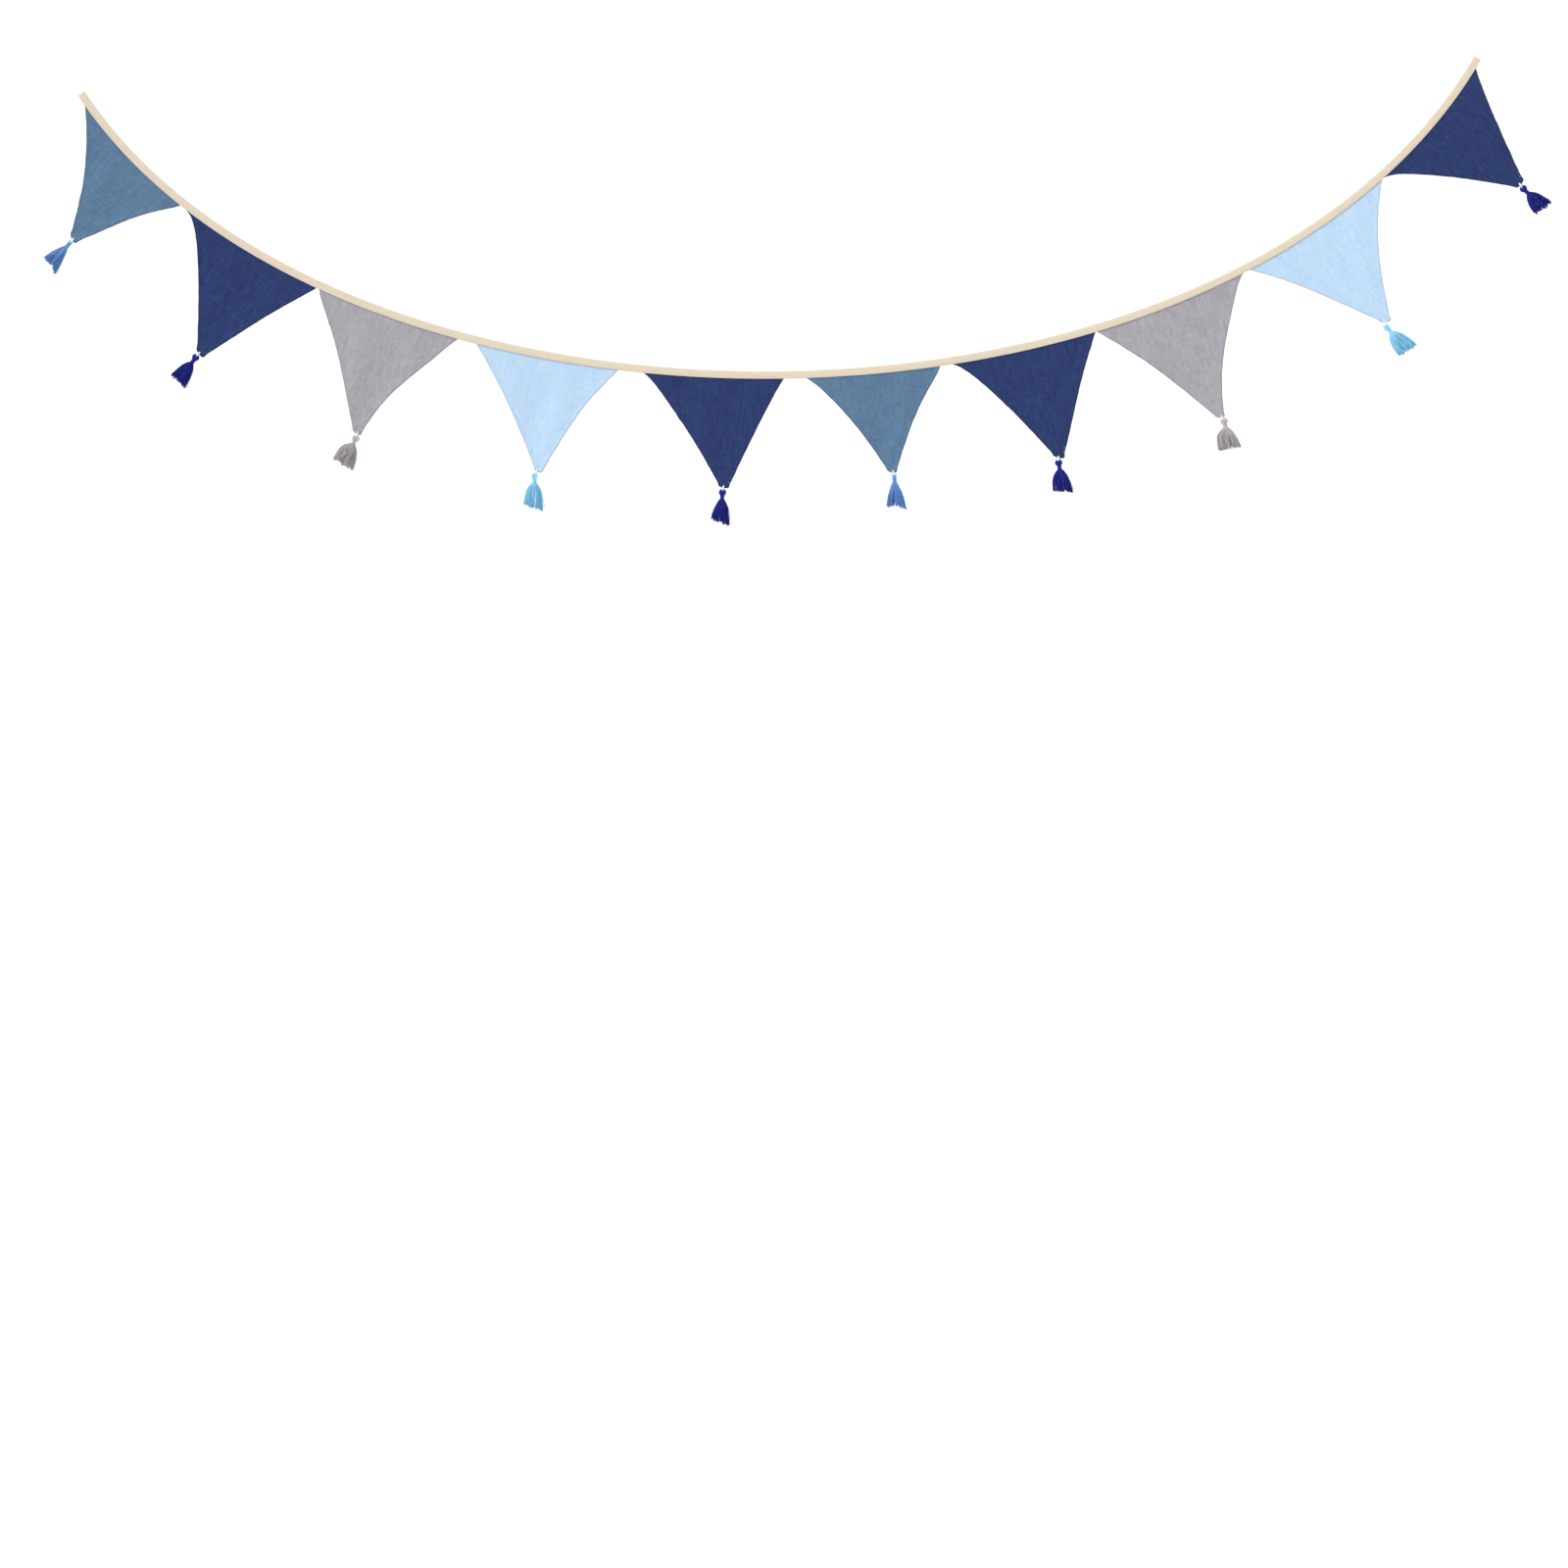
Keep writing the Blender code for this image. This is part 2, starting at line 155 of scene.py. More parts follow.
def addNode(tree, kind, inputs=(), out=0, **settings):
    # adds a node, links or sets its inputs by place or by name, and gives back one of its outputs
    node = tree.nodes.new("ShaderNode" + kind)
    for name, value in settings.items():
        setattr(node, name, value)
    for key, value in inputs.items() if isinstance(inputs, dict) else enumerate(inputs):
        if isinstance(value, bpy.types.NodeSocket):
            tree.links.new(value, node.inputs[key])
        else:
            node.inputs[key].default_value = value
    return node.outputs[out]


def startMaterial(name, settings):
    material = bpy.data.materials.new(name)
    material.use_nodes = True
    shader = material.node_tree.nodes["Principled BSDF"]
    for socket, value in settings.items():
        shader.inputs[socket].default_value = value
    return material, material.node_tree, shader


gauze = {
    "pitch": 0.75,        # mm from thread to thread, coarser than the real weave so that it shows
    "wander": 3.0,        # mm that the threads wander sideways
    "wanderScale": 0.11,  # how often, for each mm
    "crossing": 0.5,      # how much one thread rises where it passes over another
    "weaveHeight": 0.2,   # mm
    "weaveBump": 0.8,
    "holeEdge": 0.55,     # the height in the weave below which a gap is painted dark, as shade
    "gapShadeShow": 0.92,     # how much the painted shade in the gaps between threads shows where they are widest
    "rimLayersAndShadeShow": 0.8,       # how much the rim's colour shows: the seam's layers showing through, and painted shade of the rolled edge
    "rimWidth": 2.6,      # mm
    "bandScale": (0.19, 0.035, 1),  # the crinkles' bands across and down, for each mm
    "bandHeight": 0.35,   # mm
    "bandBump": 0.6,
    "bandGaps": (0.4, 0.64, 0.74, 1.0),  # the bands' tones from and to, and how open the gaps are there
    "yarnScale": (0.55, 0.05),  # thick and thin yarn across and along a thread, for each mm
    "weftShare": 0.6,     # how much the weft's yarn shows against the warp's
    "yarnTones": (0.55, 1.05),  # the yarn's tones from the darker colour to the lighter
}


def cottonGauze(name, lightHex, shadeHex, gapShadeHex, rimLayersAndShadeHex, sheen):
    # Cotton gauze, plain woven from fine loose yarn and crinkled in the wash. It is quite matt, its
    # gaps are painted dark, as the shade seen through them, in long bands where the crinkles pull the
    # yarn apart, and the yarn is thicker and thinner along both ways of the weave, which shows as a
    # faint cross hatch from afar.
    material, tree, shader = startMaterial(name, {
        "Roughness": 0.95, "Specular IOR Level": 0.06, "Sheen Weight": sheen, "Sheen Roughness": 0.6,
        "Sheen Tint": linearColour(lightHex)})
    metres = addNode(tree, "UVMap", uv_map="UVMap")
    spot = addNode(tree, "VectorMath", {0: metres, "Scale": 1000}, operation="SCALE")
    cloud = addNode(tree, "TexNoise", {"Vector": spot, "Scale": gauze["wanderScale"], "Detail": 2},
                    out="Color")
    stray = addNode(tree, "VectorMath", [cloud, (0.5, 0.5, 0.5)], operation="SUBTRACT")
    stray = addNode(tree, "VectorMath", {0: stray, "Scale": gauze["wander"]}, operation="SCALE")
    spot = addNode(tree, "VectorMath", [spot, stray], operation="ADD")

    phase = addNode(tree, "VectorMath", {0: spot, "Scale": math.pi / gauze["pitch"]}, operation="SCALE")
    waves = addNode(tree, "VectorMath", [phase], operation="SINE")
    warp, weft = addNode(tree, "SeparateXYZ", [waves]).node.outputs[:2]
    over = addNode(tree, "Math", [warp, weft], operation="MULTIPLY")
    over = addNode(tree, "Math", [over, gauze["crossing"]], operation="MULTIPLY")
    warpRound = addNode(tree, "Math", [warp], operation="ABSOLUTE")
    weftRound = addNode(tree, "Math", [weft], operation="ABSOLUTE")
    warpTop = addNode(tree, "Math", [warpRound, over], operation="ADD")
    weftTop = addNode(tree, "Math", [weftRound, over], operation="SUBTRACT")
    height = addNode(tree, "Math", [warpTop, weftTop], operation="MAXIMUM")

    # the crinkles' bands run down from the tape
    bandSpot = addNode(tree, "Mapping", {"Vector": spot, "Scale": gauze["bandScale"]})
    bands = addNode(tree, "TexNoise", {"Vector": bandSpot, "Scale": 1.0, "Detail": 3})
    wide = addNode(tree, "MapRange", [bands, *gauze["bandGaps"]])
    # the gaps are painted dark: the shade seen through the weave where the threads part
    gap = addNode(tree, "MapRange", [height, gauze["holeEdge"], 1.0, 1.0, 0.0])
    gap = addNode(tree, "Math", [gap, wide], operation="MULTIPLY")
    gap = addNode(tree, "Math", [gap, gauze["gapShadeShow"]], operation="MULTIPLY")

    across, along = gauze["yarnScale"]
    warpSpot = addNode(tree, "Mapping", {"Vector": spot, "Scale": (across, along, 1)})
    weftSpot = addNode(tree, "Mapping", {"Vector": spot, "Scale": (along, across, 1)})
    warpYarn = addNode(tree, "TexNoise", {"Vector": warpSpot, "Scale": 1.0, "Detail": 3, "Roughness": 0.6})
    weftYarn = addNode(tree, "TexNoise", {"Vector": weftSpot, "Scale": 1.0, "Detail": 3, "Roughness": 0.6})
    tone = addNode(tree, "Math", [weftYarn, gauze["weftShare"], warpYarn], operation="MULTIPLY_ADD")
    tone = addNode(tree, "MapRange", [tone, *gauze["yarnTones"], 0.0, 1.0])

    yarn = addNode(tree, "Mix", {0: tone, 6: linearColour(shadeHex), 7: linearColour(lightHex)}, out=2,
                   data_type="RGBA")
    cloth = addNode(tree, "Mix", {0: gap, 6: yarn, 7: linearColour(gapShadeHex)}, out=2, data_type="RGBA")
    # the rim is darker: partly the seam's layers showing through, partly painted shade of the rolled edge
    rim = addNode(tree, "Attribute", out="Fac", attribute_name="rim")
    rim = addNode(tree, "Math", [rim, gauze["rimLayersAndShadeShow"]], operation="MULTIPLY")
    colour = addNode(tree, "Mix", {0: rim, 6: cloth, 7: linearColour(rimLayersAndShadeHex)}, out=2, data_type="RGBA")
    folds = addNode(tree, "Bump", {"Strength": gauze["bandBump"], "Distance": gauze["bandHeight"] * mm,
                                   "Height": bands})
    weave = addNode(tree, "Bump", {"Strength": gauze["weaveBump"], "Distance": gauze["weaveHeight"] * mm,
                                   "Height": height, "Normal": folds})
    tree.links.new(colour, shader.inputs["Base Color"])
    tree.links.new(weave, shader.inputs["Normal"])
    return material


floss = {
    "twist": 1.4,         # mm for each turn of the two plies
    "plyHeight": 0.07,    # mm
    "plyBump": 0.7,
    "plyGrooveShadeTone": 0.07,      # how much the plies, the threads and the locks differ in painted shade and sheen highlights
    "threadSheenTone": 0.55,
    "lockTone": 0.8,
    "lockMiddle": 0.4,    # the locks' mean tone, taken off again
    "lengthScale": 0.13,  # the changes along a thread, for each mm
    "lockScale": 0.17,    # the locks' changes against those of a thread
    "darkTones": (0.45, 0.8),  # tones from the dark colour to the middle one
    "lightTones": (0.8, 1.15),  # and on to the light one
}


def strandedCotton(name, lightHex, midHex, darkHex, roughness, specular, sheen):
    # Stranded embroidery cotton, mercerised and loosely twisted from two plies. Each thread has a
    # silky sheen; its colour differs a little from the next one and along its length as painted sheen
    # highlights and painted shade, and the plies' grooves are painted darker as shade.
    material, tree, shader = startMaterial(name, {
        "Roughness": roughness, "Specular IOR Level": specular, "Sheen Weight": sheen,
        "Sheen Roughness": 0.4, "Sheen Tint": linearColour(lightHex)})
    turned, along = addNode(tree, "SeparateXYZ", [addNode(tree, "UVMap", uv_map="UVMap")]).node.outputs[:2]
    number = addNode(tree, "Math", [turned], operation="FLOOR")
    pick = addNode(tree, "TexWhiteNoise", {"W": number}, noise_dimensions="1D")
    millimetres = addNode(tree, "Math", [along, 1000], operation="MULTIPLY")
    turned = addNode(tree, "Math", [turned, 2], operation="MULTIPLY")
    turns = addNode(tree, "Math", [millimetres, 1 / floss["twist"], turned], operation="MULTIPLY_ADD")
    turns = addNode(tree, "Math", [turns, 2 * math.pi], operation="MULTIPLY")
    ply = addNode(tree, "Math", [turns], operation="SINE")
    # the tone from thread to thread, lock to lock and along the length is painted sheen highlights and
    # painted shade
    lengthSpot = addNode(tree, "Math", [millimetres, floss["lengthScale"]], operation="MULTIPLY")
    lengthSpot = addNode(tree, "CombineXYZ", [number, lengthSpot])
    lengthTone = addNode(tree, "TexNoise", {"Vector": lengthSpot, "Scale": 1.0, "Detail": 2})
    lockTone = addNode(tree, "TexNoise", {"Vector": lengthSpot, "Scale": floss["lockScale"], "Detail": 1})
    tone = addNode(tree, "Math", [lockTone, floss["lockTone"], lengthTone], operation="MULTIPLY_ADD")
    tone = addNode(tree, "Math", [tone, floss["lockMiddle"]], operation="SUBTRACT")
    tone = addNode(tree, "Math", [pick, floss["threadSheenTone"], tone], operation="MULTIPLY_ADD")
    # the plies' grooves painted darker, as shade
    tone = addNode(tree, "Math", [ply, floss["plyGrooveShadeTone"], tone], operation="MULTIPLY_ADD")
    darker = addNode(tree, "MapRange", [tone, *floss["darkTones"], 0.0, 1.0])
    lighter = addNode(tree, "MapRange", [tone, *floss["lightTones"], 0.0, 1.0])
    lower = addNode(tree, "Mix", {0: darker, 6: linearColour(darkHex), 7: linearColour(midHex)}, out=2,
                    data_type="RGBA")
    colour = addNode(tree, "Mix", {0: lighter, 6: lower, 7: linearColour(lightHex)}, out=2, data_type="RGBA")
    plies = addNode(tree, "Bump", {"Strength": floss["plyBump"], "Distance": floss["plyHeight"] * mm,
                                   "Height": ply})
    tree.links.new(colour, shader.inputs["Base Color"])
    tree.links.new(plies, shader.inputs["Normal"])
    return material


tapeWeave = {
    "rib": 0.62,          # mm from rib to rib
    "ribHeight": 0.08,    # mm
    "pick": 0.31,         # mm from one to the next of the fine threads that cross the ribs
    "pickShare": 0.2,     # their height against the ribs'
    "ribBump": 0.8,
    "cloudScale": (0.35, 0.07, 1),  # the faint clouds, for each mm across and along
    "grainScale": 1.6,    # the fine grain, for each mm
    "tones": (0.7, 1.3),  # clouds and grain together, from the middle colour to the light one
    "grooveShadeRange": (-1.2, 0.2, 0.6, 0.0),  # heights from and to, and how much the grooves' painted shade shows
}


def ribbedCotton(name, lightHex, midHex, grooveShadeHex):
    # Cotton binding tape, woven with fine ribs across it and pressed hot: matt and cream, with a little
    # painted shade between the ribs, and faintly clouded along its length.
    material, tree, shader = startMaterial(name, {
        "Roughness": 0.85, "Specular IOR Level": 0.12, "Sheen Weight": 0.12, "Sheen Roughness": 0.5,
        "Sheen Tint": linearColour(lightHex)})
    metres = addNode(tree, "UVMap", uv_map="UVMap")
    spot = addNode(tree, "VectorMath", {0: metres, "Scale": 1000}, operation="SCALE")
    rate = (2 * math.pi / tapeWeave["pick"], 2 * math.pi / tapeWeave["rib"], 0)
    phase = addNode(tree, "VectorMath", [spot, rate], operation="MULTIPLY")
    waves = addNode(tree, "VectorMath", [phase], operation="SINE")
    pick, rib = addNode(tree, "SeparateXYZ", [waves]).node.outputs[:2]
    relief = addNode(tree, "Math", [pick, tapeWeave["pickShare"], rib], operation="MULTIPLY_ADD")
    cloudSpot = addNode(tree, "Mapping", {"Vector": spot, "Scale": tapeWeave["cloudScale"]})
    cloud = addNode(tree, "TexNoise", {"Vector": cloudSpot, "Scale": 1.0, "Detail": 4})
    grain = addNode(tree, "TexNoise", {"Vector": spot, "Scale": tapeWeave["grainScale"], "Detail": 2})
    tone = addNode(tree, "Math", [cloud, grain], operation="ADD")
    tone = addNode(tree, "MapRange", [tone, *tapeWeave["tones"], 0.0, 1.0])
    cloth = addNode(tree, "Mix", {0: tone, 6: linearColour(midHex), 7: linearColour(lightHex)}, out=2,
                    data_type="RGBA")
    # between the ribs the colour is painted darker, as shade in the grooves
    grooveShade = addNode(tree, "MapRange", [relief, *tapeWeave["grooveShadeRange"]])
    colour = addNode(tree, "Mix", {0: grooveShade, 6: cloth, 7: linearColour(grooveShadeHex)}, out=2, data_type="RGBA")
    ribs = addNode(tree, "Bump", {"Strength": tapeWeave["ribBump"], "Distance": tapeWeave["ribHeight"] * mm,
                                  "Height": relief})
    tree.links.new(colour, shader.inputs["Base Color"])
    tree.links.new(ribs, shader.inputs["Normal"])
    return material


# each cloth: its light and darker yarn, its gaps painted dark as shade, and its darker rim
gauzes = {
    "slate_blue": cottonGauze("slateCottonGauze", "#7898BA", "#6181A1", "#1E3653", "#46607C", 0.1),
    "navy": cottonGauze("navyCottonGauze", "#405288", "#2E3C6A", "#11173A", "#1B2340", 0.05),
    "grey": cottonGauze("greyCottonGauze", "#CDCCD4", "#B1B0B8", "#434045", "#8A878C", 0.1),
    "pale_blue": cottonGauze("paleBlueCottonGauze", "#DDF4FF", "#C2E1FF", "#84AADE", "#B3B3C6", 0.1),
}
# each thread's light, middle and dark colours, mixed into painted sheen highlights and painted shade
flosses = {
    "blue_thread": strandedCotton("blueStrandedCotton", "#8FBCF6", "#6399DF", "#4579BF", 0.5, 0.25, 0.3),
    "navy_thread": strandedCotton("navyStrandedCotton", "#3C46B4", "#20288C", "#13186A", 0.5, 0.1, 0.06),
    "grey_thread": strandedCotton("greyStrandedCotton", "#E2DCDE", "#C0B9BB", "#989093", 0.5, 0.25, 0.3),
    "azure_thread": strandedCotton("azureStrandedCotton", "#B4EAFF", "#98DEFF", "#7CCDFF", 0.5, 0.25, 0.5),
    "white_thread": strandedCotton("whiteSewingCotton", "#FFFFFF", "#F4F4F2", "#DEDDDA", 0.6, 0.2, 0.1),
    "tape": strandedCotton("creamSewingCotton", "#F0E5D2", "#E4D6BF", "#D0BFA2", 0.6, 0.2, 0.1),
}
# the last colour is the painted shade between the ribs
bindingCotton = ribbedCotton("ribbedCottonTape", "#EDE0CD", "#E7D9C4", "#CCBA9E")
print("materials ready")

# The tape is one strip, folded over the pennants' tops, with both lower edges turned up inside.
tape = {
    "thickness": 0.42,  # mm, one layer
    "sections": 640,
    # half the section, from the turned-up raw edge round to the fold: mm below the middle, mm deep
    "half": ((-2.8, 1.04), (-1.6, 1.05), (0.0, 1.05), (2.0, 1.05), (4.0, 1.06), (4.55, 1.12),
             (4.78, 1.28), (4.76, 1.44), (4.5, 1.58), (4.0, 1.61), (3.5, 1.55), (3.2, 1.46),
             (2.9, 1.55), (2.3, 1.63), (1.0, 1.65), (-0.8, 1.65), (-2.4, 1.60), (-3.4, 1.45),
             (-4.1, 1.15), (-4.55, 0.70), (-4.75, 0.25)),
    "uneven": 0.10,     # mm, the soft unevenness of a sewn edge
    "unevenRate": 28,   # how often, for each metre
    "swell": 0.06,      # the share by which the tape is thicker and thinner
    "swellRate": 16,    # how often, for each metre
}


def makeTape():
    half = tape["half"]
    section = [(below, -depth) for below, depth in half]
    section += [(below, depth) for below, depth in reversed(half)]
    reach = [0.0]
    for one, two in zip(section, section[1:]):
        reach.append(reach[-1] + math.dist(one, two))
    last = len(section) - 1

    def place(u, v):
        below, depth = section[round(u * last)]
        distance = v * tapeLength
        uneven = noise(Vector((distance * tape["unevenRate"], depth, 3.0)))
        stray = uneven * tape["uneven"] * smooth(abs(depth))
        swell = 1 + tape["swell"] * noise(Vector((distance * tape["swellRate"], 7.0, depth * 0.3)))
        point = onTape(distance, (below + stray) * mm, depth * swell * mm)
        return point, (reach[round(u * last)] * mm, distance), 0.0

    shape = bmesh.new()
    layGrid(shape, last, tape["sections"], place)
    piece = finishPiece("bindingTape", shape, bindingCotton, "tape")
    wall = piece.modifiers.new("clothThickness", "SOLIDIFY")
    wall.thickness = tape["thickness"] * mm
    wall.offset = 0


# The line of stitches that closes the tape shows on both faces.
stitches = {
    "below": 3.2,    # mm below the tape's middle line
    "depth": 1.72,   # mm
    "pitch": 3.2,    # mm
    "length": 2.6,   # mm
    "radius": 0.22,  # mm, somewhat thicker than sewing thread, so that it shows close up
    "steps": 5,
    "first": 0.8,    # where the first one starts, as a share of the pitch
    "stray": 0.1,    # mm that one starts early or late
    "tilt": 0.15,    # mm that one end lies lower than the other
    "sink": 0.22,    # mm that its ends go into the cloth
}


def makeStitches():
    draw = random.Random(5)
    threads = []
    for number in range(int(tapeLength / mm / stitches["pitch"]) - 1):
        for face in (-1, 1):
            start = (number + stitches["first"]) * stitches["pitch"]
            start += draw.uniform(-stitches["stray"], stitches["stray"])
            tilt = draw.uniform(-stitches["tilt"], stitches["tilt"])
            points = []
            for step in range(stitches["steps"]):
                share = step / (stitches["steps"] - 1)
                sink = stitches["sink"] * (2 * share - 1)**4
                points.append(onTape((start + share * stitches["length"]) * mm,
                                     (stitches["below"] + tilt * (share - 0.5)) * mm,
                                     face * (stitches["depth"] - sink) * mm))
            threads.append((points, stitches["radius"] * mm, number * 2 + face + 1))
    shape = bmesh.new()
    addThreads(shape, threads)
    finishPiece("seamStitches", shape, flosses["tape"], None)


makeTape()
makeStitches()
print("tape and its stitches made")

cloth = {
    "columns": 112,
    "rows": 92,
    "heldRows": 3,
    "heldDepth": 6.8,     # mm that the top edge reaches up into the tape
    "heldHalf": 0.45,     # mm, half its thickness there
    "half": 0.55,         # mm, half the thickness of the two layers
    "seamHalf": 0.95,     # mm, half the thickness where the seam's edges lie inside
    "seamWidth": 3.6,     # mm
    "seamStep": 1.4,      # mm in which it thins to the two layers
    "freedFall": 0.04,    # the shares of its height in which it leaves the tape's grip, and in which
    "thickFall": 0.1,     # it comes to its own thickness
    "flareFall": 0.08,    # the share of its height in which an edge flares out to the tape
    "corner": 1.6,        # mm, radius of the tip's two corners
    "square": 1.0,        # mm that the tip's sides run out from their line, down to the corners
    "squareHigh": 7.0,    # mm
    "waver": 0.45,        # mm that the sewn edges waver
    "waverLong": 11,      # mm, the longer wavers and the shorter ones
    "waverShort": 4,
    "waverFall": 0.06,    # the share of its height in which they begin
    "tipBulge": 1.0,      # mm
    "ripplePitch": 62.0,  # mm, the soft waves that run down from the tape
    "ripple": 0.9,        # mm
    "foldWidth": 15.0,    # mm, half the width of the main fold
    "crinklePitch": 6.5,  # mm across
    "crinkleLong": 48,    # mm down, the longer crinkles and the shorter ones
    "crinkleShort": 22,
    "crinkleFiner": 2.1,  # how much closer the shorter ones lie
    "crinkle": 0.2,       # mm
    "calm": 5,            # mm from the seam in which the crinkles begin
    "gather": 0.27,       # mm, small pleats below the tape and above the tip
    "gatherPitch": 3.2,   # mm across
    "gatherLong": 40,     # mm down
    "gatherTop": 9,       # mm in which they fade below the tape, and above the tip
    "gatherTip": 26,
    "crowdAcross": 1.5,   # how much closer the grid is at the sewn edges, and at the tip
    "crowdDown": 1.4,
    "areaSteps": 30,
    "tapeEdge": 5.0,      # mm from the tape's middle line to its lower edge
}

# One row for each pennant, in millimetres and degrees, seen from the front: its cloth; where its top
# edge starts and ends along the tape; how far right of its middle and how far down its tip is; the
# tip's width and turn; how far the left edge draws in just below the tape, and at its middle, and
# higher up than lower down; the same for the right edge; how far the tip stands back; and the main
# fold's place and height.
pennants = (
    ("slate_blue", 15, 192, 24, 130, 11.0, 19, (1.5, 8.0, 0.0), (-2.0, 5.5, 1.0), 2.0, 0.45, -1.4),
    ("navy", 200, 396, 13.5, 150, 11.0, 21, (11.5, 3.5, 0.0), (-1.0, 2.5, 0.5), -2.5, 0.60, 1.6),
    ("grey", 400, 589, 13, 158, 9.5, 9, (-4.0, 5.5, 1.0), (2.5, 7.5, -2.5), 2.5, 0.35, -1.8),
    ("pale_blue", 613, 798, 16, 147, 8.5, 7, (1.0, 4.0, 0.0), (-1.5, 7.5, 1.0), -2.0, 0.58, 2.0),
    ("navy", 831, 1011, 19, 143, 10.8, 7, (4.5, 3.0, -0.5), (1.5, 1.0, 0.0), -3.0, 0.40, -1.5),
    ("slate_blue", 1040, 1212, 13, 130, 9.5, 14, (3.5, 5.5, 0.0), (-3.0, 6.5, 0.5), 1.5, 0.62, 1.7),
    ("navy", 1228, 1416, 13.5, 147, 11.0, 21, (7.0, 3.5, 0.0), (0.0, 2.0, 0.5), -2.0, 0.50, -1.6),
    ("grey", 1418, 1620, 6, 161, 9.0, 17, (0.0, 5.0, 0.5), (6.0, 8.0, -2.0), 2.5, 0.66, 1.9),
    ("pale_blue", 1629, 1835, 4, 154, 11.5, 26, (1.0, 4.0, 0.5), (1.0, 9.5, 0.5), -2.5, 0.72, -2.2),
    ("navy", 1837, 2021, 16, 140, 11.0, -2, (7.5, 3.5, 0.0), (1.5, 1.5, 0.0), 3.0, 0.42, 1.5),
)


